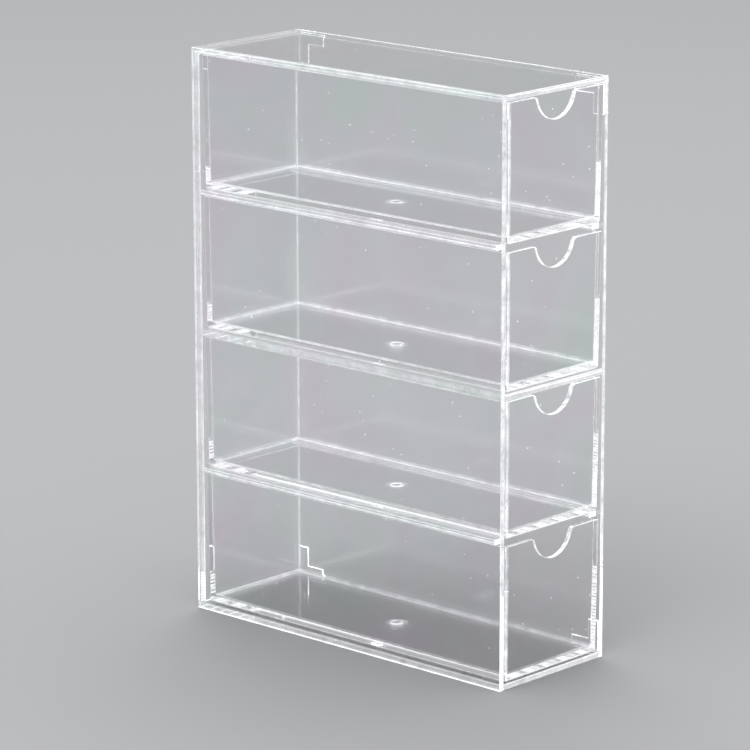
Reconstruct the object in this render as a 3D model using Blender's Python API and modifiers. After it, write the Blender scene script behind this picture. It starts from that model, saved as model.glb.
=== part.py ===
"""Clear plastic storage box with four pull-out drawers.

Metres, +Z up. The origin is the middle of the casing's underside. The drawer fronts
face -Y, the box's width runs along X and its depth along Y.
"""
import math

import bmesh
import bpy
from mathutils import Matrix, Vector

# Overall size of the casing
CASE_WIDTH = 0.0660
CASE_DEPTH = 0.1770
CASE_HEIGHT = 0.2500

# Casing panels
LEFT_THICKNESS = 0.0025
RIGHT_THICKNESS = 0.0020
TOP_THICKNESS = 0.0025
BOTTOM_THICKNESS = 0.0025
BACK_THICKNESS = 0.0030
SHELF_THICKNESS = 0.0026
PANEL_ROUND = 0.0004
JOINT_GAP = 0.0003

# Runner rails on the side panels
RUNNER_THICKNESS = 0.0020
RUNNER_WIDTH = 0.0045
RUNNER_ROUND = 0.0002
LEFT_RUNNER_SETBACK = 0.0045
RIGHT_RUNNER_SETBACK = 0.0026

# L-shaped locating lugs at the inner corners of the right panel
LUG_RISE = 0.0004
LUG_UPRIGHT_WIDTH = 0.0060
LUG_UPRIGHT_LENGTH = 0.0135
LUG_BAR_WIDTH = 0.0050
LUG_BAR_LENGTH = 0.0150
LUG_INSET = 0.0004
LUG_ROOT = 0.0008

# Drawers, all alike
DRAWER_LEFT_GAP = 0.0017
DRAWER_RIGHT_GAP = 0.0007
DRAWER_SEAT_GAP = 0.0003
DRAWER_HEAD_GAP = 0.0008
DRAWER_BACK_GAP = 0.0003
DRAWER_FRONT_RECESS = 0.0003
DRAWER_WALL = 0.0020
DRAWER_FLOOR = 0.0024
DRAWER_LEAN = 0.0007
DRAWER_CORNER_ROUND = 0.0004
DRAWER_BASE_ROUND = 0.0010
DRAWER_CORNER_FILLET = 0.0008
DRAWER_FLOOR_FILLET = 0.0013
DRAWER_RIM_ROUND = 0.0005

# Finger notch in each drawer front
NOTCH_RADIUS = 0.0118
NOTCH_DEPTH = 0.0105
NOTCH_LIP_ROUND = 0.0025

# Round gate mark under each drawer floor
GATE_RADIUS = 0.0024
GATE_DEPTH = 0.0003

# How far a cutter runs past what it cuts, and how near points are welded
CUT_OVERRUN = 0.0020
WELD_DISTANCE = 0.00001

# How finely rounds are faceted
PANEL_ROUND_STEPS = 2
CORNER_ROUND_STEPS = 3
RIM_ROUND_STEPS = 2
NOTCH_ARC_STEPS = 24
LIP_ARC_STEPS = 5
GATE_STEPS = 32

# A round is never wider than this share of the wall that it is on
ROUND_LIMIT_SHARE = 0.4

# Faces that meet at less than the first angle shade as one round face, and edges
# sharper than the second are rounded at a drawer's rim
SMOOTH_ANGLE = math.radians(20)
RIM_EDGE_ANGLE = math.radians(60)

# Clear moulded plastic
CLEAR_COLOR = (0.93, 0.95, 0.96, 1.0)
CLEAR_ROUGHNESS = 0.04
CLEAR_IOR = 1.49
CLEAR_METALLIC = 0.0

# Places worked out from the sizes above
CASE_LEFT = -CASE_WIDTH / 2
CASE_RIGHT = CASE_WIDTH / 2
CASE_FRONT = -CASE_DEPTH / 2
CASE_BACK = CASE_DEPTH / 2
BAY_LEFT = CASE_LEFT + LEFT_THICKNESS
BAY_RIGHT = CASE_RIGHT - RIGHT_THICKNESS
BAY_BACK = CASE_BACK - BACK_THICKNESS
BAY_BOTTOM = BOTTOM_THICKNESS
BAY_TOP = CASE_HEIGHT - TOP_THICKNESS
SHELF_BOTTOM = (BAY_BOTTOM + BAY_TOP - SHELF_THICKNESS) / 2
SHELF_TOP = SHELF_BOTTOM + SHELF_THICKNESS
HALF_BAY_HEIGHT = SHELF_BOTTOM - BAY_BOTTOM
LOWER_RUNNER_BOTTOM = BAY_BOTTOM + (HALF_BAY_HEIGHT - RUNNER_THICKNESS) / 2
UPPER_RUNNER_BOTTOM = SHELF_TOP + (HALF_BAY_HEIGHT - RUNNER_THICKNESS) / 2
DRAWER_HEIGHT = (HALF_BAY_HEIGHT - RUNNER_THICKNESS) / 2 - DRAWER_SEAT_GAP - DRAWER_HEAD_GAP
DRAWER_LEFT = BAY_LEFT + DRAWER_LEFT_GAP
DRAWER_RIGHT = BAY_RIGHT - DRAWER_RIGHT_GAP
DRAWER_FRONT = CASE_FRONT + DRAWER_FRONT_RECESS
DRAWER_BACK = BAY_BACK - DRAWER_BACK_GAP

# The surface that carries each drawer, from the top down
DRAWER_SEATS = {
    "top_drawer": UPPER_RUNNER_BOTTOM + RUNNER_THICKNESS,
    "second_drawer": SHELF_TOP,
    "third_drawer": LOWER_RUNNER_BOTTOM + RUNNER_THICKNESS,
    "bottom_drawer": BAY_BOTTOM,
}


def clear_scene():
    """Remove every object that the file opens with."""
    for old in list(bpy.data.objects):
        bpy.data.objects.remove(old, do_unlink=True)


def new_collection(name):
    """Add a collection to the scene."""
    collection = bpy.data.collections.new(name)
    bpy.context.scene.collection.children.link(collection)
    return collection


def clear_plastic(name):
    """Clear plastic for one sub-part."""
    material = bpy.data.materials.new(name + "_clear_plastic")
    material.use_nodes = True
    shader = material.node_tree.nodes["Principled BSDF"]
    shader.inputs["Base Color"].default_value = CLEAR_COLOR
    shader.inputs["Roughness"].default_value = CLEAR_ROUGHNESS
    shader.inputs["Metallic"].default_value = CLEAR_METALLIC
    shader.inputs["IOR"].default_value = CLEAR_IOR
    shader.inputs["Transmission Weight"].default_value = 1.0
    return material


def block_shape(low, high):
    """A bmesh box between two corners."""
    shape = bmesh.new()
    bmesh.ops.create_cube(shape, size=1)
    size = Vector(high) - Vector(low)
    middle = (Vector(low) + Vector(high)) / 2
    bmesh.ops.scale(shape, vec=size, verts=shape.verts)
    bmesh.ops.translate(shape, vec=middle, verts=shape.verts)
    return shape


def tapered_shape(top_low, top_high, floor_z, lean):
    """A bmesh box whose four upright faces stand in by lean at its floor."""
    shape = block_shape((top_low.x, top_low.y, floor_z), top_high)
    middle = (top_low + top_high) / 2
    for vert in shape.verts:
        if vert.co.z < middle.z:
            vert.co.x += math.copysign(lean, middle.x - vert.co.x)
            vert.co.y += math.copysign(lean, middle.y - vert.co.y)
    return shape


def edges_along(shape, axes):
    """The edges that run along the given axes, 0 for X, 1 for Y and 2 for Z."""
    found = []
    for edge in shape.edges:
        run = edge.verts[1].co - edge.verts[0].co
        longest = max(range(len(run)), key=lambda axis: abs(run[axis]))
        if longest in axes:
            found.append(edge)
    return found


def round_edges(shape, edges, radius, steps):
    """Round the given edges."""
    bmesh.ops.bevel(
        shape,
        geom=edges,
        offset=radius,
        offset_type="OFFSET",
        segments=steps,
        profile=0.5,
        affect="EDGES",
        clamp_overlap=True,
    )


def mesh_from_shape(shape, name):
    """Turn a bmesh into a mesh and free it."""
    mesh = bpy.data.meshes.new(name)
    shape.normal_update()
    shape.to_mesh(mesh)
    shape.free()
    return mesh


def add_object(name, mesh, collection, place=(0, 0, 0)):
    """Put a mesh in a collection as a named object."""
    obj = bpy.data.objects.new(name, mesh)
    obj.location = place
    collection.objects.link(obj)
    return obj


def finish_part(obj, parent):
    """Give a sub-part its material, its smooth and sharp edges and its parent."""
    obj.data.materials.clear()
    obj.data.materials.append(clear_plastic(obj.name))
    obj.data.shade_smooth()
    obj.data.set_sharp_from_angle(angle=SMOOTH_ANGLE)
    obj.parent = parent
    return obj


def add_cutter(name, mesh, collection, place=(0, 0, 0)):
    """Add a helper solid that only cuts or joins another one."""
    cutter = add_object(name, mesh, collection, place)
    cutter.hide_render = True
    cutter.display_type = "WIRE"
    return cutter


def add_boolean(obj, other, operation):
    """Cut or join another solid with a live Boolean modifier."""
    modifier = obj.modifiers.new(operation.lower() + "_" + other.name, "BOOLEAN")
    modifier.operation = operation
    modifier.solver = "EXACT"
    modifier.object = other


def panel_mesh(name, low, high, thickness, axes):
    """A flat panel whose edges along the given axes are rounded."""
    shape = block_shape(low, high)
    radius = min(PANEL_ROUND, ROUND_LIMIT_SHARE * thickness)
    round_edges(shape, edges_along(shape, axes), radius, PANEL_ROUND_STEPS)
    return mesh_from_shape(shape, name)


def add_panels(collection, parent):
    """The casing's flat panels and its middle shelf."""
    inner_left = BAY_LEFT + JOINT_GAP
    inner_right = BAY_RIGHT - JOINT_GAP
    panels = {
        "left_side_panel": (
            (CASE_LEFT, CASE_FRONT, 0), (BAY_LEFT, CASE_BACK, CASE_HEIGHT), LEFT_THICKNESS, (0, 1, 2),
        ),
        "right_side_panel": (
            (BAY_RIGHT, CASE_FRONT, 0), (CASE_RIGHT, CASE_BACK, CASE_HEIGHT), RIGHT_THICKNESS, (0, 1, 2),
        ),
        "top_panel": (
            (inner_left, CASE_FRONT, BAY_TOP), (inner_right, CASE_BACK, CASE_HEIGHT), TOP_THICKNESS, (0,),
        ),
        "bottom_panel": (
            (inner_left, CASE_FRONT, 0), (inner_right, CASE_BACK, BAY_BOTTOM), BOTTOM_THICKNESS, (0,),
        ),
        "back_panel": (
            (inner_left, BAY_BACK, BAY_BOTTOM + JOINT_GAP),
            (inner_right, CASE_BACK, BAY_TOP - JOINT_GAP),
            BACK_THICKNESS,
            (),
        ),
        "middle_shelf": (
            (inner_left, CASE_FRONT, SHELF_BOTTOM),
            (inner_right, BAY_BACK - JOINT_GAP, SHELF_TOP),
            SHELF_THICKNESS,
            (0,),
        ),
    }
    parts = {}
    for name, (low, high, thickness, axes) in panels.items():
        mesh = panel_mesh(name, low, high, thickness, axes)
        parts[name] = finish_part(add_object(name, mesh, collection), parent)
    return parts


def add_runners(collection, parent):
    """Four rails, two on each side panel, which carry the first and the third drawer."""
    sides = {
        "left": (BAY_LEFT + JOINT_GAP, BAY_LEFT + RUNNER_WIDTH, LEFT_RUNNER_SETBACK),
        "right": (BAY_RIGHT - RUNNER_WIDTH, BAY_RIGHT - JOINT_GAP, RIGHT_RUNNER_SETBACK),
    }
    levels = {"upper": UPPER_RUNNER_BOTTOM, "lower": LOWER_RUNNER_BOTTOM}
    radius = min(RUNNER_ROUND, ROUND_LIMIT_SHARE * RUNNER_THICKNESS)
    for level, bottom in levels.items():
        for side, (left, right, setback) in sides.items():
            name = level + "_" + side + "_runner"
            low = (left, CASE_FRONT + setback, bottom)
            high = (right, BAY_BACK - JOINT_GAP, bottom + RUNNER_THICKNESS)
            shape = block_shape(low, high)
            round_edges(shape, edges_along(shape, (1,)), radius, PANEL_ROUND_STEPS)
            finish_part(add_object(name, mesh_from_shape(shape, name), collection), parent)


def curve_to_mesh(curve_object, name):
    """Make a filled curve a closed mesh whose caps are welded, and remove the curve."""
    bpy.context.view_layer.update()
    depsgraph = bpy.context.evaluated_depsgraph_get()
    mesh = bpy.data.meshes.new_from_object(curve_object.evaluated_get(depsgraph))
    mesh.name = name
    mesh.transform(curve_object.matrix_world)
    bpy.data.objects.remove(curve_object, do_unlink=True)
    shape = bmesh.new()
    shape.from_mesh(mesh)
    bmesh.ops.remove_doubles(shape, verts=shape.verts, dist=WELD_DISTANCE)
    bmesh.ops.recalc_face_normals(shape, faces=shape.faces)
    shape.to_mesh(mesh)
    shape.free()
    return mesh


def outline_mesh(name, points, thickness, placement, collection):
    """A flat outline, given by its points, extruded to a thickness and put in place."""
    curve = bpy.data.curves.new(name, "CURVE")
    curve.dimensions = "2D"
    curve.fill_mode = "BOTH"
    curve.extrude = thickness / 2
    spline = curve.splines.new("POLY")
    spline.points.add(len(points) - 1)
    for point, (x, y) in zip(spline.points, points):
        point.co = (x, y, 0, 1)
    spline.use_cyclic_u = True
    curve_object = bpy.data.objects.new(name, curve)
    curve_object.matrix_world = placement
    collection.objects.link(curve_object)
    return curve_to_mesh(curve_object, name)


def lug_outline(inward_y, inward_z):
    """The L of one locating lug, from its corner inward, as Y and Z distances."""
    bar = LUG_BAR_LENGTH * inward_y
    bar_width = LUG_BAR_WIDTH * inward_z
    upright = LUG_UPRIGHT_LENGTH * inward_z
    upright_width = LUG_UPRIGHT_WIDTH * inward_y
    return [
        (0, 0),
        (bar, 0),
        (bar, bar_width),
        (upright_width, bar_width),
        (upright_width, upright),
        (0, upright),
    ]


def add_lugs(panel, cutters):
    """Four L-shaped lugs, joined to the right panel's inner face at its corners."""
    faces_x = Matrix(((0, 0, 1), (1, 0, 0), (0, 1, 0))).to_4x4()
    middle_x = BAY_RIGHT + (LUG_ROOT - LUG_RISE) / 2
    corners_y = {"front": (CASE_FRONT + LUG_INSET, 1), "back": (BAY_BACK - JOINT_GAP, -1)}
    corners_z = {"lower": (BAY_BOTTOM + JOINT_GAP, 1), "upper": (BAY_TOP - JOINT_GAP, -1)}
    for end, (y, inward_y) in corners_y.items():
        for level, (z, inward_z) in corners_z.items():
            name = level + "_" + end + "_lug"
            points = lug_outline(inward_y, inward_z)
            placement = Matrix.Translation((middle_x, y, z)) @ faces_x
            mesh = outline_mesh(name, points, LUG_RISE + LUG_ROOT, placement, cutters)
            add_boolean(panel, add_cutter(name, mesh, cutters), "UNION")


def arc_points(centre, radius, start, end, steps):
    """Points along an arc, from the start angle to the end angle."""
    points = []
    for step in range(steps + 1):
        angle = start + (end - start) * step / steps
        points.append((centre[0] + radius * math.cos(angle), centre[1] + radius * math.sin(angle)))
    return points


def notch_outline():
    """The finger notch seen from the front, as X across and height over the rim."""
    bowl_centre = (0, NOTCH_RADIUS - NOTCH_DEPTH)
    reach = NOTCH_RADIUS + NOTCH_LIP_ROUND
    drop = NOTCH_LIP_ROUND + bowl_centre[1]
    lip_x = math.sqrt(reach ** 2 - drop ** 2)
    tilt = math.atan2(drop, lip_x)
    quarter = math.pi / 2
    left_lip = arc_points((-lip_x, -NOTCH_LIP_ROUND), NOTCH_LIP_ROUND, quarter, tilt, LIP_ARC_STEPS)
    bowl = arc_points(bowl_centre, NOTCH_RADIUS, -math.pi + tilt, -tilt, NOTCH_ARC_STEPS)
    right_lip = arc_points(
        (lip_x, -NOTCH_LIP_ROUND), NOTCH_LIP_ROUND, math.pi - tilt, quarter, LIP_ARC_STEPS,
    )
    over = [(lip_x, CUT_OVERRUN), (-lip_x, CUT_OVERRUN)]
    return left_lip + bowl[1:] + right_lip[1:] + over


def lean_at(height):
    """How far a drawer's walls stand in at a height over its floor's underside."""
    return DRAWER_LEAN * (1 - height / DRAWER_HEIGHT)


def round_below_rim(obj, floor_z, base_round, corner_round):
    """Round the edges of a drawer's shell or hollow at its floor and up its corners."""
    wider = max(base_round, corner_round)
    shape = bmesh.new()
    shape.from_mesh(obj.data)
    weights = shape.edges.layers.float.new("bevel_weight_edge")
    for edge in shape.edges:
        at_floor = [math.isclose(vert.co.z, floor_z, abs_tol=WELD_DISTANCE) for vert in edge.verts]
        if all(at_floor):
            edge[weights] = base_round / wider
        elif any(at_floor):
            edge[weights] = corner_round / wider
    shape.to_mesh(obj.data)
    shape.free()
    rounding = obj.modifiers.new("round_below_rim", "BEVEL")
    rounding.width = wider
    rounding.segments = CORNER_ROUND_STEPS
    rounding.limit_method = "WEIGHT"


def drawer_mesh(cutters):
    """One drawer, with the middle of its underside at the front as its origin."""
    half_width = (DRAWER_RIGHT - DRAWER_LEFT) / 2
    depth = DRAWER_BACK - DRAWER_FRONT
    corner_round = min(DRAWER_CORNER_ROUND, ROUND_LIMIT_SHARE * DRAWER_WALL)
    base_round = min(DRAWER_BASE_ROUND, ROUND_LIMIT_SHARE * DRAWER_FLOOR)
    rim_round = min(DRAWER_RIM_ROUND, ROUND_LIMIT_SHARE * DRAWER_WALL)

    shell = tapered_shape(
        Vector((-half_width, 0, DRAWER_HEIGHT)),
        Vector((half_width, depth, DRAWER_HEIGHT)),
        0,
        DRAWER_LEAN,
    )
    drawer = add_cutter("drawer_shell", mesh_from_shape(shell, "drawer_shell"), cutters)
    round_below_rim(drawer, 0, base_round, corner_round)

    rise = DRAWER_HEIGHT + CUT_OVERRUN
    hollow = tapered_shape(
        Vector((-half_width + DRAWER_WALL + lean_at(rise), DRAWER_WALL + lean_at(rise), rise)),
        Vector((half_width - DRAWER_WALL - lean_at(rise), depth - DRAWER_WALL - lean_at(rise), rise)),
        DRAWER_FLOOR,
        lean_at(DRAWER_FLOOR) - lean_at(rise),
    )
    hollow_cutter = add_cutter("drawer_hollow", mesh_from_shape(hollow, "drawer_hollow"), cutters)
    round_below_rim(hollow_cutter, DRAWER_FLOOR, DRAWER_FLOOR_FILLET, DRAWER_CORNER_FILLET)
    add_boolean(drawer, hollow_cutter, "DIFFERENCE")

    faces_front = Matrix(((1, 0, 0), (0, 0, -1), (0, 1, 0))).to_4x4()
    notch_thickness = DRAWER_WALL + DRAWER_LEAN + 2 * CUT_OVERRUN
    notch_middle = notch_thickness / 2 - CUT_OVERRUN
    placement = Matrix.Translation((0, notch_middle, DRAWER_HEIGHT)) @ faces_front
    notch = outline_mesh("finger_notch", notch_outline(), notch_thickness, placement, cutters)
    add_boolean(drawer, add_cutter("finger_notch", notch, cutters), "DIFFERENCE")

    rim = drawer.modifiers.new("rim_round", "BEVEL")
    rim.width = rim_round
    rim.segments = RIM_ROUND_STEPS
    rim.limit_method = "ANGLE"
    rim.angle_limit = RIM_EDGE_ANGLE
    rim.use_clamp_overlap = False

    gate = bmesh.new()
    bmesh.ops.create_cone(
        gate,
        cap_ends=True,
        segments=GATE_STEPS,
        radius1=GATE_RADIUS,
        radius2=GATE_RADIUS,
        depth=2 * GATE_DEPTH,
    )
    gate_place = (0, depth / 2, 0)
    gate_cutter = add_cutter("gate_mark", mesh_from_shape(gate, "gate_mark"), cutters, gate_place)
    add_boolean(drawer, gate_cutter, "DIFFERENCE")

    bpy.context.view_layer.update()
    depsgraph = bpy.context.evaluated_depsgraph_get()
    mesh = bpy.data.meshes.new_from_object(drawer.evaluated_get(depsgraph))
    mesh.name = "drawer"
    return mesh


def add_drawers(collection, cutters, parent):
    """Four drawers with the same mesh, each an object whose origin is at its front."""
    mesh = drawer_mesh(cutters)
    for name, seat in DRAWER_SEATS.items():
        place = ((DRAWER_LEFT + DRAWER_RIGHT) / 2, DRAWER_FRONT, seat + DRAWER_SEAT_GAP)
        finish_part(add_object(name, mesh.copy(), collection, place), parent)


def main():
    """Build the whole box."""
    clear_scene()
    parts = new_collection("four_drawer_box")
    cutters = new_collection("cutters")
    casing = bpy.data.objects.new("casing", None)
    parts.objects.link(casing)
    panels = add_panels(parts, casing)
    add_lugs(panels["right_side_panel"], cutters)
    add_runners(parts, casing)
    add_drawers(parts, cutters, casing)


main()
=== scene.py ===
"""A clear moulded storage box with four pull-out drawers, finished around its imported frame.

Metres, +Z up. The drawer fronts face -Y and the closing cover is on the +X side.
"""
import math

import bmesh
import bpy
from bpy.props import FloatProperty, FloatVectorProperty, IntProperty, PointerProperty
from mathutils import Matrix, Vector


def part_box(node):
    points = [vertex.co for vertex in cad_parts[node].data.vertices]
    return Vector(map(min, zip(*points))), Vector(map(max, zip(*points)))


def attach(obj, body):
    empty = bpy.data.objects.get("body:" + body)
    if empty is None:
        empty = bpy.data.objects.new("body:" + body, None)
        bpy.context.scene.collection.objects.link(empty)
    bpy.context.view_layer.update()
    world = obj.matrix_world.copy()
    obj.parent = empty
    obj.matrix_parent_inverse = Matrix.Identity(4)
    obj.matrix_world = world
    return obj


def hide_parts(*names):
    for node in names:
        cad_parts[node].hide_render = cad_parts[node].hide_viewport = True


bl_info = {
    "name": "Clear Drawer Box",
    "version": (1, 0, 0),
    "blender": (4, 5, 0),
    "location": "View3D > Sidebar > Drawer Box",
    "description": "Models a clear moulded storage box with four pull-out drawers",
    "category": "Add Mesh",
}

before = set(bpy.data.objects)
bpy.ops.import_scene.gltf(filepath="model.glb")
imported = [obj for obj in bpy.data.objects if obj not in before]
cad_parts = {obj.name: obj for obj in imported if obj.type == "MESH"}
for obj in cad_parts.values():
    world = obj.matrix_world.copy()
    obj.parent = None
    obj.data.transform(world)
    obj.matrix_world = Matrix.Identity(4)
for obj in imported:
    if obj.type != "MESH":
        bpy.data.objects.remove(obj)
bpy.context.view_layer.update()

MILLIMETRE = 0.001
LENGTH_DIGITS = 5
QUARTER_TURN = math.pi / 2
AXIS_X, AXIS_Y, AXIS_Z = 0, 1, 2

LEVEL_NODES = ("top_panel", "bottom_panel", "middle_shelf")
RAIL_NODES = ("upper_left_runner", "upper_right_runner", "lower_left_runner", "lower_right_runner")
DRAWER_NODES = ("top_drawer", "second_drawer", "third_drawer", "bottom_drawer")

# Places nearer than the first are the same, cuts are placed to the second, and a cutter stands out by
# the third
NEAR = 0.02 * MILLIMETRE
VERY_NEAR = NEAR / 10
OVERRUN = 2.0 * MILLIMETRE

# A face wider than the first stays exactly flat, and one wider than the second is no edge
FLAT_FACE_WIDTH = 0.45 * MILLIMETRE
EDGE_FACE_WIDTH = 3.2 * MILLIMETRE

# Two faces that meet at less than the first are one, less than the second are parts of a round,
# and more than the third have an edge that the rim's bevel rounds
FLAT_ANGLE = math.radians(0.05)
SMOOTH_ANGLE = math.radians(25)
SHARP_ANGLE = math.radians(60)

# How far a face's normal may be off an axis or off level, how far off an exact axis, and from where on
# it looks up or down
LEAN_LIMIT = 0.1
EXACT_LIMIT = 0.0001
MOSTLY_LEVEL = 0.5

# Height of the gate mark's nub, as a share of the mark's depth
NUB_HEIGHT_SHARE = 0.9

# The face attribute that says how strongly a face gives off a painted glow, which stands in for light piped
# through the plastic to its edges
PAINTED_GLOW_LAYER = "edge_glow"

# The plastic's noises, whose scales are waves to a metre; the patch noise breaks up the painted glow along
# the edges
STRESS_NOISE = {"Scale": 11.0, "Detail": 2.0, "Roughness": 0.4, "Distortion": 0.6}
RIPPLE_NOISE = {"Scale": 28.0, "Detail": 1.0, "Roughness": 0.5}
WEAR_NOISE = {"Scale": 60.0, "Detail": 1.0}
PATCH_NOISE = {"Scale": 170.0, "Detail": 5.0, "Roughness": 0.7}
HAIR_NOISE = {"Scale": 1.0, "Detail": 0.0}

# Levels of the stress noise, and the settings' colours that it turns to at each
STRESS_STOPS = (
    (0.30, "color"),
    (0.40, "stress_cool"),
    (0.47, "color"),
    (0.55, "stress_warm"),
    (0.63, "color"),
    (0.72, "stress_cool"),
)

# Dust cells to a metre, a speck's radius in cells, and the share of cells that stay empty
DUST_CELLS = 120.0
SPECK_RADIUS = 0.045
EMPTY_CELL_SHARE = 0.7

# Hairlines are noise drawn out along one turned axis, and show above these levels
HAIR_TURN = (0.5, 0.3, 0.9)
HAIR_STRETCH = (2600.0, 2600.0, 34.0)
HAIR_LEVEL = 0.80
WEAR_LEVEL = 0.55

# How the patches along an edge brighten and darken its painted glow
PATCH_GAIN = 5.0
PATCH_DROP = 1.5

# Turn of the patterns in each slot's plastic, so that casing and drawers differ
PATTERN_TURNS = {"clear_casing": 0.0, "clear_drawer": 0.7}

# The Mix node's sockets for colours
MIX_FACTOR = 0
MIX_FIRST = 6
MIX_SECOND = 7
MIX_RESULT = 2

# Light passes through many walls before it leaves the box
CLEAR_BOUNCES = 256
DIFFUSE_BOUNCES = 4

# The surroundings turn from the horizon's colour to the dome's between these shares of straight up
HORIZON_SHARE = 0.25
DOME_SHARE = 0.60

# Each soft lamp's name, place, width and length, and power in watts
SOFTBOXES = (
    ("key_softbox", (-1.1, -0.25, 1.7), (1.2, 1.0), 6.5),
    ("rim_softbox", (0.75, 0.8, 1.7), (1.0, 0.8), 4.5),
)
LAMP_AIM = (0.0, 0.0, 0.1)

# The floor lies just under the box, and the camera sees past its edge
FLOOR_DROP = 0.2 * MILLIMETRE
VIEW_REACH = 100.0

# Width of the camera's sensor, in millimetres as the lens is
SENSOR_WIDTH = 36.0


def length_setting(name, description, length):
    """A length that a user can change."""
    return FloatProperty(
        name=name,
        description=description,
        subtype="DISTANCE",
        unit="LENGTH",
        precision=LENGTH_DIGITS,
        min=0,
        default=length,
    )


def angle_setting(name, description, degrees):
    """An angle that a user can change."""
    return FloatProperty(
        name=name,
        description=description,
        subtype="ANGLE",
        unit="ROTATION",
        default=math.radians(degrees),
    )


def share_setting(name, description, share):
    """A share from 0 to 1 that a user can change."""
    return FloatProperty(name=name, description=description, subtype="FACTOR", min=0, max=1, default=share)


def glow_setting(name, place, share):
    """The share of the painted glow that the plastic gives off at one place, standing in for light piped
    through it.
    """
    return share_setting(name, "Share of the gathered light that leaves at " + place, share)


def color_setting(name, description, color):
    """A colour that a user can change."""
    return FloatVectorProperty(
        name=name,
        description=description,
        subtype="COLOR",
        size=3,
        min=0,
        max=1,
        default=color,
    )


def count_setting(name, description, fewest, most, count):
    """A number of facets that a user can change."""
    return IntProperty(name=name, description=description, min=fewest, max=most, default=count)


class ClearPlasticSettings(bpy.types.PropertyGroup):
    """The clear plastic that every piece is moulded in."""

    color: color_setting("Colour", "Colour that each surface lets through", (0.988, 0.992, 0.996))
    stress_warm: color_setting(
        "Warm Stress Tint", "Colour of the rosy bands that moulding stress leaves", (0.990, 0.965, 0.985),
    )
    stress_cool: color_setting(
        "Cool Stress Tint", "Colour of the green bands that moulding stress leaves", (0.962, 0.990, 0.980),
    )
    ior: FloatProperty(
        name="Refractive Index",
        description="Refractive index of the clear plastic",
        min=1,
        max=2,
        default=1.49,
    )
    roughness: share_setting("Roughness", "Roughness of the polished surface", 0.0)
    scratch_roughness: share_setting(
        "Scratch Roughness", "Roughness that hairline scratches and specks add", 0.22,
    )
    ripple_height: length_setting(
        "Ripple Height", "Height of the slow waves that the mould leaves in a panel", 0.02 * MILLIMETRE,
    )
    speck_height: length_setting(
        "Speck Height", "Height of the dust specks caught on the surface", 0.05 * MILLIMETRE,
    )
    # The glow settings below paint light through the plastic's emission: a painted glow on rounds, ends,
    # lugs, the gate mark and the drawers' rims, standing in for light piped through the plastic, though the
    # plastic is no lamp
    glow_color: color_setting(
        "Glow Colour",
        "Colour of the light that the plastic gathers and gives off at its edges",
        (0.94, 0.97, 1.0),
    )
    painted_glow_strength: FloatProperty(
        name="Glow Strength",
        description="Strength of the light that the plastic gathers",
        min=0,
        default=2.5,
    )
    round_glow: glow_setting("Round Glow", "the casing's rounded edges", 0.064)
    end_glow: glow_setting("End Glow", "the narrow end faces of panels and rails", 0.032)
    front_glow: glow_setting("Front Glow", "the side panels' front and bottom ends", 0.11)
    lug_glow: glow_setting("Lug Glow", "the lugs' walls", 0.4)
    gate_glow: glow_setting("Gate Glow", "the gate mark's ring", 0.8)
    dish_glow: glow_setting("Dish Glow", "the shallow dish round the gate mark", 0.06)
    rim_glow: glow_setting("Rim Glow", "the rounds of the drawers' rims", 0.048)
    front_rim_glow: glow_setting("Front Rim Glow", "the drawers' front rims and finger notches", 0.2)
    corner_glow: glow_setting("Corner Glow", "the drawers' upright front corners", 0.09)
    floor_glow: glow_setting("Floor Glow", "the fillets round the drawers' floors", 0.056)
    base_glow: glow_setting("Base Glow", "the rounds under the drawers", 0.028)
    # The dust specks are real, but their glint is painted through emission
    speck_painted_glint: share_setting("Speck Glow", "Share of the gathered light that the dust specks catch", 0.2)


class CasingSettings(bpy.types.PropertyGroup):
    """The casing's panels, cover, shelf and rails."""

    edge_round: length_setting("Edge Round", "Radius of the panels' outer edges", 0.3 * MILLIMETRE)
    rail_round: length_setting("Rail Round", "Radius of the rails' long edges", 0.25 * MILLIMETRE)
    round_steps: count_setting("Round Steps", "Facets across each rounded edge", 1, 12, 5)
    cover_thickness: length_setting(
        "Cover Thickness", "Thickness of the cover without its lugs", 2.0 * MILLIMETRE,
    )
    lug_inset: length_setting(
        "Lug Inset", "Gap between the cover's front edge and the front lugs", 0.4 * MILLIMETRE,
    )
    lug_round: length_setting("Lug Round", "Radius of the edges round a lug's face", 0.35 * MILLIMETRE)
    lug_steps: count_setting("Lug Steps", "Facets across the edges round a lug's face", 1, 12, 3)
    lug_upright_width: length_setting(
        "Lug Upright Width", "Width of a locating lug's upright arm", 6.0 * MILLIMETRE,
    )
    lug_upright_length: length_setting(
        "Lug Upright Length", "Length of a locating lug's upright arm", 13.5 * MILLIMETRE,
    )
    lug_bar_width: length_setting(
        "Lug Bar Width", "Width of a locating lug's level arm", 5.0 * MILLIMETRE,
    )
    lug_bar_length: length_setting(
        "Lug Bar Length", "Length of a locating lug's level arm", 15.0 * MILLIMETRE,
    )


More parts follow.
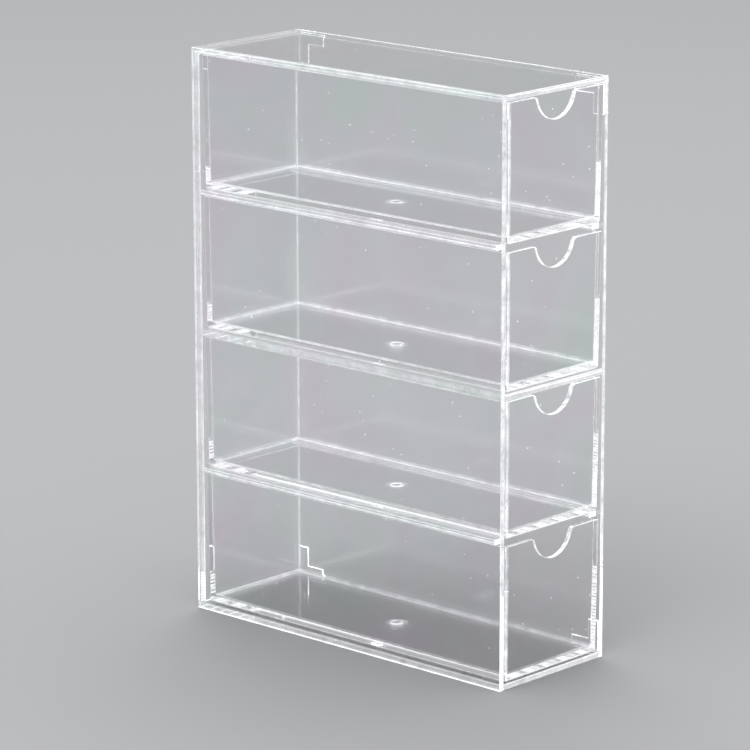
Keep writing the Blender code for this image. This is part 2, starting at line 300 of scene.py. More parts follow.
class DrawerSettings(bpy.types.PropertyGroup):
    """One drawer, which the others copy."""

    wall: length_setting("Wall", "Thickness of a drawer's walls", 2.0 * MILLIMETRE)
    floor: length_setting("Floor", "Thickness of a drawer's floor", 2.4 * MILLIMETRE)
    lean: length_setting(
        "Lean", "How far the walls stand in at the floor, for the mould's draft", 0.7 * MILLIMETRE,
    )
    corner_round: length_setting("Corner Round", "Radius of the upright outer corners", 0.4 * MILLIMETRE)
    base_round: length_setting(
        "Base Round", "Radius of the outer edges round the underside", 1.0 * MILLIMETRE,
    )
    corner_fillet: length_setting("Corner Fillet", "Radius of the upright inner corners", 0.5 * MILLIMETRE)
    floor_fillet: length_setting(
        "Floor Fillet", "Radius of the inner edges round the floor", 1.3 * MILLIMETRE,
    )
    rim_round: length_setting("Rim Round", "Radius of the rim's and the notch's edges", 0.4 * MILLIMETRE)
    notch_radius: length_setting("Notch Radius", "Radius of the finger notch's bowl", 11.8 * MILLIMETRE)
    notch_depth: length_setting(
        "Notch Depth", "Depth of the finger notch below the rim", 10.5 * MILLIMETRE,
    )
    notch_lip_round: length_setting(
        "Notch Lip Round", "Radius of the two corners where the notch meets the rim", 2.5 * MILLIMETRE,
    )
    gate_radius: length_setting(
        "Gate Radius", "Radius of the round gate mark under the floor", 2.9 * MILLIMETRE,
    )
    gate_depth: length_setting(
        "Gate Depth", "Depth of the round gate mark, past the dish round it", 0.3 * MILLIMETRE,
    )
    gate_nub_radius: length_setting(
        "Gate Nub Radius", "Radius of the nub left in the middle of the gate mark", 1.2 * MILLIMETRE,
    )
    dish_radius: length_setting(
        "Dish Radius", "Radius of the shallow dish round the gate mark", 5.0 * MILLIMETRE,
    )
    dish_depth: length_setting(
        "Dish Depth", "Depth of the shallow dish round the gate mark", 0.15 * MILLIMETRE,
    )
    fillet_steps: count_setting(
        "Fillet Steps", "Facets across a drawer's fillets and rounded corners", 1, 12, 8,
    )
    rim_steps: count_setting("Rim Steps", "Facets across a drawer's rounded rim", 1, 12, 4)
    notch_steps: count_setting("Notch Steps", "Facets round the finger notch's bowl", 8, 256, 120)
    lip_steps: count_setting("Lip Steps", "Facets round each corner of the finger notch", 2, 64, 16)
    gate_steps: count_setting("Gate Steps", "Facets round the gate mark", 8, 128, 72)


class StudioSettings(bpy.types.PropertyGroup):
    """The floor, the surroundings and the camera."""

    floor_color: color_setting("Floor Colour", "Colour of the plain pale floor", (0.475, 0.48, 0.49))
    floor_roughness: share_setting("Floor Roughness", "Roughness of the plain pale floor", 0.75)
    floor_size: length_setting("Floor Size", "Length of the floor's sides", 40.0)
    horizon_color: color_setting(
        "Horizon Colour", "Colour of the surroundings at the floor's far edge", (0.442, 0.447, 0.454),
    )
    dome_color: color_setting(
        "Dome Colour", "Colour of the soft white surroundings overhead", (0.95, 0.95, 0.955),
    )
    azimuth: angle_setting(
        "Camera Azimuth", "Angle of the camera round the box, from the drawer fronts", -47.044,
    )
    elevation: angle_setting("Camera Elevation", "Angle of the camera over the floor", 13.893)
    roll: angle_setting("Camera Roll", "Turn of the camera about its own line of sight", -0.123)
    distance: length_setting(
        "Camera Distance", "Distance from the camera to the point that it looks at", 1.8020,
    )
    aim: FloatVectorProperty(
        name="Camera Aim",
        description="The point that the camera looks at",
        subtype="XYZ",
        unit="LENGTH",
        size=3,
        default=(-0.01321, 0.0, 0.11681),
    )
    lens: FloatProperty(
        name="Lens",
        description="Focal length of the camera",
        subtype="DISTANCE_CAMERA",
        unit="CAMERA",
        min=1,
        default=203.84,
    )


def select_only(obj):
    """Deselect everything else and make one object active."""
    bpy.ops.object.select_all(action="DESELECT")
    obj.select_set(True)
    bpy.context.view_layer.objects.active = obj


def start_editing(obj, element):
    """Edit an object's mesh by its vertices, edges or faces, with nothing selected."""
    select_only(obj)
    bpy.ops.object.mode_set(mode="EDIT")
    bpy.ops.mesh.select_mode(type=element)
    bpy.ops.mesh.select_all(action="DESELECT")


def stop_editing():
    """Go back to working on whole objects."""
    bpy.ops.object.mode_set(mode="OBJECT")


def pick(obj, kind, wanted):
    """Select the edited mesh's edges or faces that are wanted, and nothing else."""
    bpy.ops.mesh.select_all(action="DESELECT")
    shape = bmesh.from_edit_mesh(obj.data)
    for element in getattr(shape, kind):
        if wanted(element):
            element.select_set(True)
    shape.select_flush_mode()
    bmesh.update_edit_mesh(obj.data)


def looks_up(face):
    """Whether a face looks upwards."""
    return face.normal.z > MOSTLY_LEVEL


def looks_down(face):
    """Whether a face looks downwards."""
    return face.normal.z < -MOSTLY_LEVEL


def runs_along(edge, axis):
    """Whether an edge runs along an axis more than along the others."""
    run = edge.verts[1].co - edge.verts[0].co
    return max((AXIS_X, AXIS_Y, AXIS_Z), key=lambda other: abs(run[other])) == axis


def face_width(face):
    """The width of a strip or ring, from its area and its outline's length."""
    return 2 * face.calc_area() / face.calc_perimeter()


def piece_name(node):
    """The name of the finished piece that stands for a frame node."""
    return "clear_" + node


def add_block(node, low, high):
    """Add the block that a frame node's piece is shaped from, with its place in its mesh."""
    bpy.ops.object.select_all(action="DESELECT")
    bpy.ops.mesh.primitive_cube_add(size=1, location=(low + high) / 2, scale=high - low)
    block = bpy.context.object
    block.name = piece_name(node)
    block.data.name = block.name
    bpy.ops.object.transform_apply(location=True, rotation=True, scale=True)
    return block


def apply_modifier(obj, kind, **settings):
    """Add a modifier to an object and apply it."""
    select_only(obj)
    modifier = obj.modifiers.new(kind.lower(), kind)
    for name, value in settings.items():
        setattr(modifier, name, value)
    bpy.ops.object.modifier_apply(modifier=modifier.name)


def cut_away(obj, cutter):
    """Cut one solid out of another and remove the cutter."""
    apply_modifier(obj, "BOOLEAN", operation="DIFFERENCE", solver="EXACT", object=cutter)
    bpy.data.objects.remove(cutter, do_unlink=True)


def round_edges(obj, axes, radius, steps):
    """Round a block's edges that run along the given axes."""
    start_editing(obj, "EDGE")
    pick(obj, "edges", lambda edge: any(runs_along(edge, axis) for axis in axes))
    bpy.ops.mesh.bevel(offset=radius, segments=steps, affect="EDGES", clamp_overlap=True)
    stop_editing()


class Value:
    """A node's output socket that sums and products can be written with."""

    def __init__(self, finish, socket):
        self.finish = finish
        self.socket = socket

    def joined(self, operation, first, second):
        """A Math node on two values."""
        return self.finish.node(
            "ShaderNodeMath", {"operation": operation}, {0: first, 1: second},
        ).out("Value")

    def __add__(self, other):
        return self.joined("ADD", self, other)

    def __radd__(self, other):
        return self.joined("ADD", other, self)

    def __sub__(self, other):
        return self.joined("SUBTRACT", self, other)

    def __rsub__(self, other):
        return self.joined("SUBTRACT", other, self)

    def __mul__(self, other):
        return self.joined("MULTIPLY", self, other)

    def __rmul__(self, other):
        return self.joined("MULTIPLY", other, self)

    def __gt__(self, other):
        return self.joined("GREATER_THAN", self, other)

    def __lt__(self, other):
        return self.joined("LESS_THAN", self, other)


class Made:
    """A node that has been added, which hands out its sockets."""

    def __init__(self, finish, node):
        self.finish = finish
        self.node = node

    def out(self, name):
        """One output socket, ready for sums."""
        return Value(self.finish, self.node.outputs[name])


class Finish:
    """A node tree under construction."""

    def __init__(self, tree):
        self.tree = tree

    def node(self, kind, settings=None, sockets=None):
        """Add a node, set it up, and set or link its sockets."""
        node = self.tree.nodes.new(kind)
        for name, value in (settings or {}).items():
            if name == "stops":
                self.set_stops(node.color_ramp, value)
            else:
                setattr(node, name, value)
        for name, value in (sockets or {}).items():
            self.feed(node.inputs[name], value)
        return Made(self, node)

    def feed(self, socket, value):
        """Set a socket, or link it when the value comes from another node."""
        if isinstance(value, Value):
            self.tree.links.new(value.socket, socket)
        else:
            socket.default_value = value

    @staticmethod
    def set_stops(ramp, stops):
        """Give a colour ramp its stops, as places and colours."""
        while len(ramp.elements) < len(stops):
            ramp.elements.new(1.0)
        for element, (place, color) in zip(ramp.elements, stops):
            element.position = place
            element.color = color


def opaque(color):
    """A colour with full alpha."""
    return (color[0], color[1], color[2], 1.0)


def noise(finish, place, pattern):
    """The grey value of a noise."""
    return finish.node(
        "ShaderNodeTexNoise", {"noise_dimensions": "3D"}, {"Vector": place, **pattern},
    ).out("Fac")


def mixed_color(finish, factor, first, second):
    """A blend of two colours."""
    return finish.node(
        "ShaderNodeMix",
        {"data_type": "RGBA", "blend_type": "MIX"},
        {MIX_FACTOR: factor, MIX_FIRST: opaque(first), MIX_SECOND: opaque(second)},
    ).out(MIX_RESULT)


def stress_tint(finish, settings, place):
    """The faint rosy and green bands that moulding stress leaves."""
    stops = [(level, opaque(getattr(settings, tint))) for level, tint in STRESS_STOPS]
    stress = noise(finish, place, STRESS_NOISE)
    return finish.node("ShaderNodeValToRGB", {"stops": stops}, {"Fac": stress}).out("Color")


def dust_specks(finish, place):
    """Round specks, 1 where there is one, in the middle of some of the dust's cells."""
    dust = finish.node(
        "ShaderNodeTexVoronoi",
        {"feature": "F1", "voronoi_dimensions": "3D"},
        {"Vector": place, "Scale": DUST_CELLS, "Randomness": 1.0},
    )
    cell = finish.node("ShaderNodeSeparateColor", {"mode": "RGB"}, {"Color": dust.out("Color")})
    return (dust.out("Distance") < SPECK_RADIUS) * (cell.out("Red") > EMPTY_CELL_SHARE)


def hairline_scratches(finish, place):
    """Fine long scratches, 1 where there is one, in worn places."""
    drawn_out = finish.node(
        "ShaderNodeMapping",
        {"vector_type": "POINT"},
        {"Vector": place, "Rotation": HAIR_TURN, "Scale": HAIR_STRETCH},
    ).out("Vector")
    hair = noise(finish, drawn_out, HAIR_NOISE)
    worn = noise(finish, place, WEAR_NOISE)
    return (hair > HAIR_LEVEL) * (worn > WEAR_LEVEL)


def surface_relief(finish, settings, place, dust_and_glint):
    """The mould's slow ripples, with the specks on them."""
    ripple = noise(finish, place, RIPPLE_NOISE)
    rippled = finish.node(
        "ShaderNodeBump", {}, {"Strength": 1.0, "Distance": settings.ripple_height, "Height": ripple},
    ).out("Normal")
    return finish.node(
        "ShaderNodeBump",
        {},
        {"Strength": 1.0, "Distance": settings.speck_height, "Height": dust_and_glint, "Normal": rippled},
    ).out("Normal")


def painted_glow_emission(finish, settings, place, dust_and_glint):
    """A painted glow that the plastic gives off at its marked faces, in patches, and a painted glint at its
    dust specks, through emission.
    """
    edge = finish.node("ShaderNodeAttribute", {"attribute_name": PAINTED_GLOW_LAYER}).out("Fac")
    patchy = PATCH_GAIN * noise(finish, place, PATCH_NOISE) - PATCH_DROP
    share = edge * patchy + settings.speck_painted_glint * dust_and_glint
    return mixed_color(finish, share, (0.0, 0.0, 0.0), settings.glow_color)


def clear_plastic(name, settings, turn):
    """Polished clear plastic with moulding stress, slow ripples, specks and hairlines, and a painted glow at
    its edges and specks.
    """
    material = bpy.data.materials.new(name)
    material.use_nodes = True
    finish = Finish(material.node_tree)
    shader = material.node_tree.nodes["Principled BSDF"]

    place = finish.node(
        "ShaderNodeMapping",
        {"vector_type": "POINT"},
        {"Vector": finish.node("ShaderNodeTexCoord").out("Object"), "Rotation": (turn, 0.0, turn)},
    ).out("Vector")
    dust_and_glint = dust_specks(finish, place)
    worn = dust_and_glint + hairline_scratches(finish, place)

    finish.feed(shader.inputs["Base Color"], stress_tint(finish, settings, place))
    finish.feed(shader.inputs["Roughness"], settings.roughness + settings.scratch_roughness * worn)
    finish.feed(shader.inputs["Normal"], surface_relief(finish, settings, place, dust_and_glint))
    # The emission paints a glow at the marked faces and a glint at the specks, standing in for light piped
    # through the plastic
    finish.feed(shader.inputs["Emission Color"], painted_glow_emission(finish, settings, place, dust_and_glint))
    shader.inputs["Emission Strength"].default_value = settings.painted_glow_strength
    shader.inputs["IOR"].default_value = settings.ior
    shader.inputs["Transmission Weight"].default_value = 1.0
    return material


def slot_plastic(scene, slot):
    """The clear plastic of one material slot, made once."""
    name = slot + "_plastic"
    return bpy.data.materials.get(name) or clear_plastic(name, scene.drawer_box_plastic, PATTERN_TURNS[slot])


def shade_piece(obj, plastic, detail_glow):
    """Shade rounds smooth, keep each flat face exactly flat, and mark how strongly each face gives off the
    painted glow.

    The detail's rule gives a face's share of the painted glow, or None to leave it to the face's width.
    """
    select_only(obj)
    bpy.ops.object.shade_smooth_by_angle(angle=SMOOTH_ANGLE)
    shape = bmesh.new()
    shape.from_mesh(obj.data)
    glow = shape.faces.layers.float.new(PAINTED_GLOW_LAYER)
    for face in shape.faces:
        width = face_width(face)
        by_width = plastic.round_glow
        if width > FLAT_FACE_WIDTH:
            by_width = plastic.end_glow if width < EDGE_FACE_WIDTH else 0.0
            for edge in face.edges:
                edge.smooth = False
        by_detail = detail_glow(face) if detail_glow else None
        face[glow] = by_width if by_detail is None else by_detail
    shape.to_mesh(obj.data)
    shape.free()


def finish_piece(scene, obj, body, node, slot, detail_glow=None):
    """Give a piece its finish and its body, and hide the frame node that it stands for."""
    obj.data.materials.clear()
    obj.data.materials.append(slot_plastic(scene, slot))
    shade_piece(obj, scene.drawer_box_plastic, detail_glow)
    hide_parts(node)
    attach(obj, body)


def side_glow(scene):
    """A rule for how much painted glow a side panel's front and bottom ends give off."""
    plastic = scene.drawer_box_plastic

    def glow(face):
        is_end = min(face.normal.y, face.normal.z) < LEAN_LIMIT - 1
        is_narrow = FLAT_FACE_WIDTH < face_width(face) < EDGE_FACE_WIDTH
        return plastic.front_glow if is_end and is_narrow else None

    return glow


def add_panel(scene, node, axes, detail_glow=None):
    """Add a flat panel in a frame node's place, with its edges along some axes rounded."""
    casing = scene.drawer_box_casing
    low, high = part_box(node)
    panel = add_block(node, low, high)
    round_edges(panel, axes, casing.edge_round, casing.round_steps)
    finish_piece(scene, panel, "casing", node, "clear_casing", detail_glow)


class DRAWERBOX_OT_side_panel(bpy.types.Operator):
    """Add the casing's left side panel"""

    bl_idname = "drawer_box.side_panel"
    bl_label = "Add Left Side Panel"

    def execute(self, context):
        scene = context.scene
        add_panel(scene, "left_side_panel", (AXIS_X, AXIS_Y, AXIS_Z), side_glow(scene))
        return {"FINISHED"}


class DRAWERBOX_OT_level_panels(bpy.types.Operator):
    """Add the casing's top panel, bottom panel and middle shelf"""

    bl_idname = "drawer_box.level_panels"
    bl_label = "Add Top, Bottom and Shelf"

    def execute(self, context):
        for node in LEVEL_NODES:
            add_panel(context.scene, node, (AXIS_X,))
        return {"FINISHED"}


class DRAWERBOX_OT_back_panel(bpy.types.Operator):
    """Add the casing's back panel"""

    bl_idname = "drawer_box.back_panel"
    bl_label = "Add Back Panel"

    def execute(self, context):
        add_panel(context.scene, "back_panel", (AXIS_X, AXIS_Z))
        return {"FINISHED"}


def slice_across(axis, places):
    """Cut the edited mesh's faces along planes across one axis, without parting them."""
    normal = [0.0, 0.0, 0.0]
    normal[axis] = 1.0
    for place in places:
        point = [0.0, 0.0, 0.0]
        point[axis] = place
        bpy.ops.mesh.select_all(action="SELECT")
        bpy.ops.mesh.bisect(plane_co=point, plane_no=normal, use_fill=False, threshold=VERY_NEAR)


def raise_lugs(cover, casing, inner_x, rise):
    """Raise four L-shaped locating lugs from the cover's inner face."""
    back_low, back_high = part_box("back_panel")
    front_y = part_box("right_side_panel")[0].y + casing.lug_inset
    back_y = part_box("middle_shelf")[1].y
    ends_y = ((front_y, 1), (back_y, -1))
    ends_z = ((back_low.z, 1), (back_high.z, -1))
    reach_y = (0, casing.lug_upright_width, casing.lug_bar_length)
    reach_z = (0, casing.lug_bar_width, casing.lug_upright_length)

    def in_lug(face):
        middle = face.calc_center_median()
        if face.normal.x > EXACT_LIMIT - 1 or abs(middle.x - inner_x) > NEAR:
            return False
        for y, inward_y in ends_y:
            along = (middle.y - y) * inward_y
            for z, inward_z in ends_z:
                up = (middle.z - z) * inward_z
                in_bar = 0 < along < casing.lug_bar_length and 0 < up < casing.lug_bar_width
                in_upright = 0 < along < casing.lug_upright_width and 0 < up < casing.lug_upright_length
                if in_bar or in_upright:
                    return True
        return False

    def on_lug_face(edge):
        return all(abs(vert.co.x - inner_x + rise) < NEAR for vert in edge.verts)

    start_editing(cover, "FACE")
    slice_across(AXIS_Y, [y + reach * inward for y, inward in ends_y for reach in reach_y])
    slice_across(AXIS_Z, [z + reach * inward for z, inward in ends_z for reach in reach_z])
    pick(cover, "faces", in_lug)
    bpy.ops.mesh.extrude_region_move(TRANSFORM_OT_translate={"value": (-rise, 0, 0)})
    bpy.ops.mesh.select_all(action="SELECT")
    bpy.ops.mesh.dissolve_limited(angle_limit=FLAT_ANGLE)
    pick(cover, "edges", on_lug_face)
    bpy.ops.mesh.bevel(
        offset=casing.lug_round, segments=casing.lug_steps, affect="EDGES", clamp_overlap=False,
    )
    stop_editing()


class DRAWERBOX_OT_cover(bpy.types.Operator):
    """Add the closing cover on the right, with its four L-shaped locating lugs"""

    bl_idname = "drawer_box.cover"
    bl_label = "Add Cover"

    def execute(self, context):
        scene = context.scene
        casing = scene.drawer_box_casing
        on_lugs = scene.drawer_box_plastic.lug_glow
        elsewhere = side_glow(scene)
        low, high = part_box("right_side_panel")
        inner_x = high.x - casing.cover_thickness
        cover = add_block("right_side_panel", Vector((inner_x, low.y, low.z)), high)
        round_edges(cover, (AXIS_X, AXIS_Y, AXIS_Z), casing.edge_round, casing.round_steps)
        raise_lugs(cover, casing, inner_x, inner_x - low.x)

        # The lugs' walls get a stronger painted glow than the rest of the cover
        def lug_glow(face):
            on_wall = low.x + NEAR < face.calc_center_median().x < inner_x - NEAR
            return on_lugs if on_wall else elsewhere(face)

        finish_piece(scene, cover, "casing", "right_side_panel", "clear_casing", lug_glow)
        return {"FINISHED"}


class DRAWERBOX_OT_rails(bpy.types.Operator):
    """Add the four runner rails that carry the first and the third drawer"""

    bl_idname = "drawer_box.rails"
    bl_label = "Add Runner Rails"

    def execute(self, context):
        casing = context.scene.drawer_box_casing
        for node in RAIL_NODES:
            low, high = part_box(node)
            rail = add_block(node, low, high)
            round_edges(rail, (AXIS_Y,), casing.rail_round, casing.round_steps)
            finish_piece(context.scene, rail, "casing", node, "clear_casing")
        return {"FINISHED"}


def add_tray(node, drawer):
    """Add a drawer's tapered tray, from a block whose top is inset and pressed in."""
    low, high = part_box(node)
    size = high - low
    tray = add_block(node, low, high)
    middle = (low + high) / 2
    start_editing(tray, "FACE")
    pick(tray, "faces", looks_down)
    narrow = ((size.x - 2 * drawer.lean) / size.x, (size.y - 2 * drawer.lean) / size.y, 1)
    bpy.ops.transform.resize(value=narrow, center_override=(middle.x, middle.y, low.z))
    pick(tray, "faces", looks_up)
    bpy.ops.mesh.inset(thickness=drawer.wall, depth=0, use_even_offset=True)
    sink = size.z - drawer.floor
    bpy.ops.mesh.extrude_region_move(TRANSFORM_OT_translate={"value": (0, 0, -sink)})
    lean = drawer.lean * sink / size.z
    inner = Vector((size.x - 2 * drawer.wall, size.y - 2 * drawer.wall))
    narrow = ((inner.x - 2 * lean) / inner.x, (inner.y - 2 * lean) / inner.y, 1)
    bpy.ops.transform.resize(value=narrow, center_override=(middle.x, middle.y, low.z + drawer.floor))
    stop_editing()
    return tray


def round_tray(tray, drawer):
    """Round a tray's underside, its floor and its upright corners, inside and out."""
    low_z = min(vert.co.z for vert in tray.data.vertices)
    inner_z = low_z + drawer.floor
    widest = max(drawer.corner_round, drawer.base_round, drawer.corner_fillet, drawer.floor_fillet)
    shape = bmesh.new()
    shape.from_mesh(tray.data)
    weights = shape.edges.layers.float.new("bevel_weight_edge")
    for edge in shape.edges:
        heights = [vert.co.z for vert in edge.verts]
        at_base = [abs(height - low_z) < NEAR for height in heights]
        at_floor = [abs(height - inner_z) < NEAR for height in heights]
        radius = 0.0
        if all(at_base):
            radius = drawer.base_round
        elif all(at_floor):
            radius = drawer.floor_fillet
        elif any(at_base):
            radius = drawer.corner_round
        elif any(at_floor):
            radius = drawer.corner_fillet
        edge[weights] = radius / widest
    shape.to_mesh(tray.data)
    shape.free()
    apply_modifier(tray, "BEVEL", width=widest, segments=drawer.fillet_steps, limit_method="WEIGHT")


def add_notch_cutter(drawer, middle_x, front_y, rim_z):
    """Add a solid of the finger notch's outline, spun arc by arc and drawn through the front wall."""
    bowl_z = rim_z - drawer.notch_depth + drawer.notch_radius
    lip_z = rim_z - drawer.notch_lip_round
    reach = drawer.notch_radius + drawer.notch_lip_round
    lip_x = math.sqrt(reach ** 2 - (bowl_z - lip_z) ** 2)
    tilt = math.atan2(bowl_z - lip_z, lip_x)
    start_y = front_y - OVERRUN
    bpy.ops.object.select_all(action="DESELECT")
    bpy.ops.mesh.primitive_plane_add(size=1, location=(0, 0, 0))
    cutter = bpy.context.object
    start_editing(cutter, "VERT")
    bpy.ops.mesh.select_all(action="SELECT")
    bpy.ops.mesh.merge(type="CENTER")
    bpy.ops.transform.translate(value=(middle_x - lip_x, start_y, rim_z))
    arcs = (
        (middle_x - lip_x, lip_z, -(QUARTER_TURN - tilt), drawer.lip_steps),
        (middle_x, bowl_z, math.pi - 2 * tilt, drawer.notch_steps),
        (middle_x + lip_x, lip_z, -(QUARTER_TURN - tilt), drawer.lip_steps),
    )
    for centre_x, centre_z, angle, steps in arcs:
        bpy.ops.mesh.spin(steps=steps, angle=angle, center=(centre_x, start_y, centre_z), axis=(0, 1, 0))
    for step in ((0, 0, OVERRUN), (-2 * lip_x, 0, 0), (0, 0, -OVERRUN)):
        bpy.ops.mesh.extrude_vertices_move(TRANSFORM_OT_translate={"value": step})
    bpy.ops.mesh.select_all(action="SELECT")
    bpy.ops.mesh.remove_doubles(threshold=NEAR)
    bpy.ops.mesh.select_all(action="SELECT")
    bpy.ops.mesh.edge_face_add()
    through = drawer.wall + drawer.lean + 2 * OVERRUN
    bpy.ops.mesh.extrude_region_move(TRANSFORM_OT_translate={"value": (0, through, 0)})
    bpy.ops.mesh.select_all(action="SELECT")
    bpy.ops.mesh.normals_make_consistent(inside=False)
    stop_editing()
    return cutter


def add_gate_cutter(drawer, middle, base_z):
    """Add a wide flat disc with a thicker middle, which is pressed in to leave the gate mark's nub."""
    bpy.ops.object.select_all(action="DESELECT")
    bpy.ops.mesh.primitive_cylinder_add(
        vertices=drawer.gate_steps,
        radius=drawer.dish_radius,
        depth=2 * drawer.dish_depth,
        location=(middle.x, middle.y, base_z),
    )
    cutter = bpy.context.object
    bpy.ops.object.transform_apply(location=True, rotation=True, scale=True)
    start_editing(cutter, "FACE")
    pick(cutter, "faces", looks_up)
    bpy.ops.mesh.inset(thickness=drawer.dish_radius - drawer.gate_radius, depth=0)
    bpy.ops.mesh.extrude_region_move(TRANSFORM_OT_translate={"value": (0, 0, drawer.gate_depth)})
    bpy.ops.mesh.inset(thickness=drawer.gate_radius - drawer.gate_nub_radius, depth=0)
    bpy.ops.transform.translate(value=(0, 0, -drawer.gate_depth * NUB_HEIGHT_SHARE))
    stop_editing()
    return cutter


def model_drawer(node, drawer):
    """One whole drawer: tray, fillets, finger notch, rounded rim and gate mark."""
    low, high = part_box(node)
    middle = (low + high) / 2
    tray = add_tray(node, drawer)
    round_tray(tray, drawer)
    cut_away(tray, add_notch_cutter(drawer, middle.x, low.y, high.z + VERY_NEAR))
    apply_modifier(
        tray,
        "BEVEL",
        width=drawer.rim_round,
        segments=drawer.rim_steps,
        limit_method="ANGLE",
        angle_limit=SHARP_ANGLE,
    )
    cut_away(tray, add_gate_cutter(drawer, middle, low.z))
    return tray


def drawer_glow(scene, node):
    """A rule for how much painted glow each of a drawer's rounds and its gate mark give off."""
    drawer = scene.drawer_box_drawer
    plastic = scene.drawer_box_plastic
    low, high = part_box(node)
    middle = (low + high) / 2
    mark_top_z = low.z + drawer.dish_depth + drawer.gate_depth
    notch_low_z = high.z - drawer.notch_depth - drawer.rim_round
    notch_reach = drawer.notch_radius + drawer.notch_lip_round
    front_wall_y = low.y + drawer.wall + drawer.lean + drawer.corner_fillet

    def mark_glow(face, centre, from_gate):
        in_mark = low.z + NEAR < centre.z < mark_top_z + NEAR
        if not in_mark or abs(face.normal.z) > LEAN_LIMIT:
            return None
        return plastic.gate_glow if from_gate < drawer.gate_radius + NEAR else plastic.dish_glow

    def glow(face):
        centre = face.calc_center_median()
        from_gate = (centre - middle).xy.length
        if from_gate < drawer.dish_radius + NEAR:
            return mark_glow(face, centre, from_gate)
        if face_width(face) > FLAT_FACE_WIDTH:
            return None
        if centre.z < low.z + drawer.base_round:
            return plastic.base_glow
        if centre.z < low.z + drawer.floor + drawer.floor_fillet:
            return plastic.floor_glow
        if centre.y > front_wall_y:
            return plastic.rim_glow
        in_notch = abs(centre.x - middle.x) < notch_reach and centre.z > notch_low_z
        if in_notch or centre.z > high.z - drawer.rim_round:
            return plastic.front_rim_glow
        is_upright = abs(face.normal.z) < LEAN_LIMIT and face.calc_perimeter() > drawer.notch_depth
        return plastic.corner_glow if is_upright else plastic.rim_glow

    return glow


class DRAWERBOX_OT_drawers(bpy.types.Operator):
    """Add the four drawers, each a copy of the first with its own mesh"""

    bl_idname = "drawer_box.drawers"
    bl_label = "Add Drawers"

    def execute(self, context):
        scene = context.scene
        first_node = DRAWER_NODES[0]
        first = model_drawer(first_node, scene.drawer_box_drawer)
        drawers = {first_node: first}
        for node in DRAWER_NODES[1:]:
            select_only(first)
            bpy.ops.object.duplicate(linked=False)
            copy = context.object
            copy.name = piece_name(node)
            copy.data.name = copy.name
            bpy.ops.transform.translate(value=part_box(node)[0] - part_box(first_node)[0])
            bpy.ops.object.transform_apply(location=True, rotation=True, scale=True)
            drawers[node] = copy
        for node, drawer in drawers.items():
            finish_piece(scene, drawer, node, node, "clear_drawer", drawer_glow(scene, node))
        return {"FINISHED"}


def add_floor(studio):
    """Add the plain pale floor."""
    bpy.ops.object.select_all(action="DESELECT")
    bpy.ops.mesh.primitive_plane_add(size=studio.floor_size, location=(0, 0, -FLOOR_DROP))
    floor = bpy.context.object
    floor.name = "pale_floor"
    material = bpy.data.materials.new("pale_floor")
    material.use_nodes = True
    shader = material.node_tree.nodes["Principled BSDF"]
    shader.inputs["Base Color"].default_value = opaque(studio.floor_color)
    shader.inputs["Roughness"].default_value = studio.floor_roughness
    floor.data.materials.append(material)


def add_softbox(scene, name, place, size, power):
    """Add a large soft lamp that faces the box."""
    lamp = bpy.data.lights.new(name, "AREA")
    lamp.shape = "RECTANGLE"
    lamp.size, lamp.size_y = size
    lamp.energy = power
    holder = bpy.data.objects.new(name, lamp)
    holder.location = place
    holder.rotation_euler = (Vector(LAMP_AIM) - Vector(place)).to_track_quat("-Z", "Y").to_euler()
    scene.collection.objects.link(holder)


def light_surroundings(scene, studio):
    """Soft surroundings that are as pale as the floor at the horizon and whiter overhead."""
    world = bpy.data.worlds.new("soft_studio")
    world.use_nodes = True
    scene.world = world
    finish = Finish(world.node_tree)
    direction = finish.node("ShaderNodeTexCoord").out("Generated")
    height = finish.node("ShaderNodeSeparateXYZ", {}, {"Vector": direction}).out("Z")
    overhead = finish.node(
        "ShaderNodeMapRange",
        {"interpolation_type": "SMOOTHSTEP"},
        {"Value": height, "From Min": HORIZON_SHARE, "From Max": DOME_SHARE},
    ).out("Result")
    surroundings = mixed_color(finish, overhead, studio.horizon_color, studio.dome_color)
    finish.feed(world.node_tree.nodes["Background"].inputs["Color"], surroundings)


def add_camera(scene, studio):
    """Add the camera at the photograph's viewing angle."""
    level = math.cos(studio.elevation)
    back = Vector((
        math.sin(studio.azimuth) * level,
        -math.cos(studio.azimuth) * level,
        math.sin(studio.elevation),
    ))
    right = (-back).cross(Vector((0, 0, 1))).normalized()
    up = right.cross(-back)
    turned_right = math.cos(studio.roll) * right + math.sin(studio.roll) * up
    turned_up = math.cos(studio.roll) * up - math.sin(studio.roll) * right
    camera = bpy.data.cameras.new("camera")
    camera.sensor_width = SENSOR_WIDTH
    camera.lens = studio.lens
    camera.clip_end = VIEW_REACH
    holder = bpy.data.objects.new("camera", camera)
    stand = Matrix((turned_right, turned_up, back)).transposed().to_4x4()
    stand.translation = Vector(studio.aim) + back * studio.distance
    holder.matrix_world = stand
    scene.collection.objects.link(holder)
    scene.camera = holder


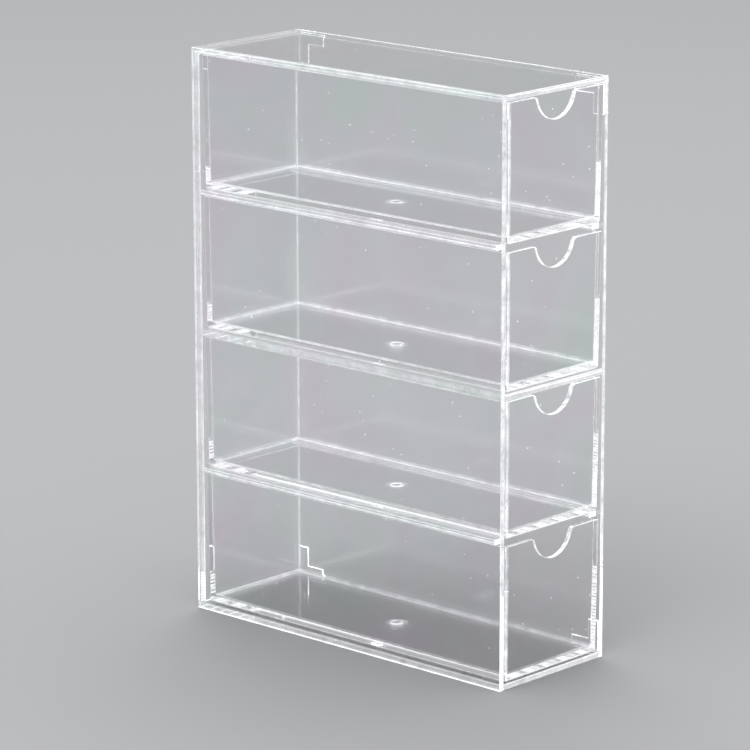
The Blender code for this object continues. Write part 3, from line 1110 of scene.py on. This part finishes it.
class DRAWERBOX_OT_studio(bpy.types.Operator):
    """Add the floor, the soft light and the camera"""

    bl_idname = "drawer_box.studio"
    bl_label = "Add Studio"

    def execute(self, context):
        scene = context.scene
        studio = scene.drawer_box_studio
        add_floor(studio)
        light_surroundings(scene, studio)
        for name, place, size, power in SOFTBOXES:
            add_softbox(scene, name, place, size, power)
        add_camera(scene, studio)
        scene.view_settings.view_transform = "Standard"
        scene.cycles.max_bounces = CLEAR_BOUNCES
        scene.cycles.transmission_bounces = CLEAR_BOUNCES
        scene.cycles.glossy_bounces = CLEAR_BOUNCES
        scene.cycles.diffuse_bounces = DIFFUSE_BOUNCES
        return {"FINISHED"}


class DRAWERBOX_PT_sidebar(bpy.types.Panel):
    """The box's pieces in the 3D view's sidebar"""

    bl_label = "Drawer Box"
    bl_idname = "DRAWERBOX_PT_sidebar"
    bl_space_type = "VIEW_3D"
    bl_region_type = "UI"
    bl_category = "Drawer Box"

    def draw(self, context):
        for operator in OPERATORS:
            self.layout.operator(operator.bl_idname)


OPERATORS = (
    DRAWERBOX_OT_side_panel,
    DRAWERBOX_OT_level_panels,
    DRAWERBOX_OT_back_panel,
    DRAWERBOX_OT_cover,
    DRAWERBOX_OT_rails,
    DRAWERBOX_OT_drawers,
    DRAWERBOX_OT_studio,
)
SETTINGS = {
    "drawer_box_plastic": ClearPlasticSettings,
    "drawer_box_casing": CasingSettings,
    "drawer_box_drawer": DrawerSettings,
    "drawer_box_studio": StudioSettings,
}


def register():
    """Register the settings, the operators and the panel."""
    for name, group in SETTINGS.items():
        bpy.utils.register_class(group)
        setattr(bpy.types.Scene, name, PointerProperty(type=group))
    for operator in OPERATORS:
        bpy.utils.register_class(operator)
    bpy.utils.register_class(DRAWERBOX_PT_sidebar)


def unregister():
    """Undo what register did."""
    bpy.utils.unregister_class(DRAWERBOX_PT_sidebar)
    for operator in reversed(OPERATORS):
        bpy.utils.unregister_class(operator)
    for name, group in reversed(SETTINGS.items()):
        delattr(bpy.types.Scene, name)
        bpy.utils.unregister_class(group)


def main():
    """Model every piece and the studio."""
    register()
    bpy.ops.drawer_box.side_panel()
    bpy.ops.drawer_box.level_panels()
    bpy.ops.drawer_box.back_panel()
    bpy.ops.drawer_box.cover()
    bpy.ops.drawer_box.rails()
    bpy.ops.drawer_box.drawers()
    bpy.ops.drawer_box.studio()


if __name__ == "__main__":
    main()
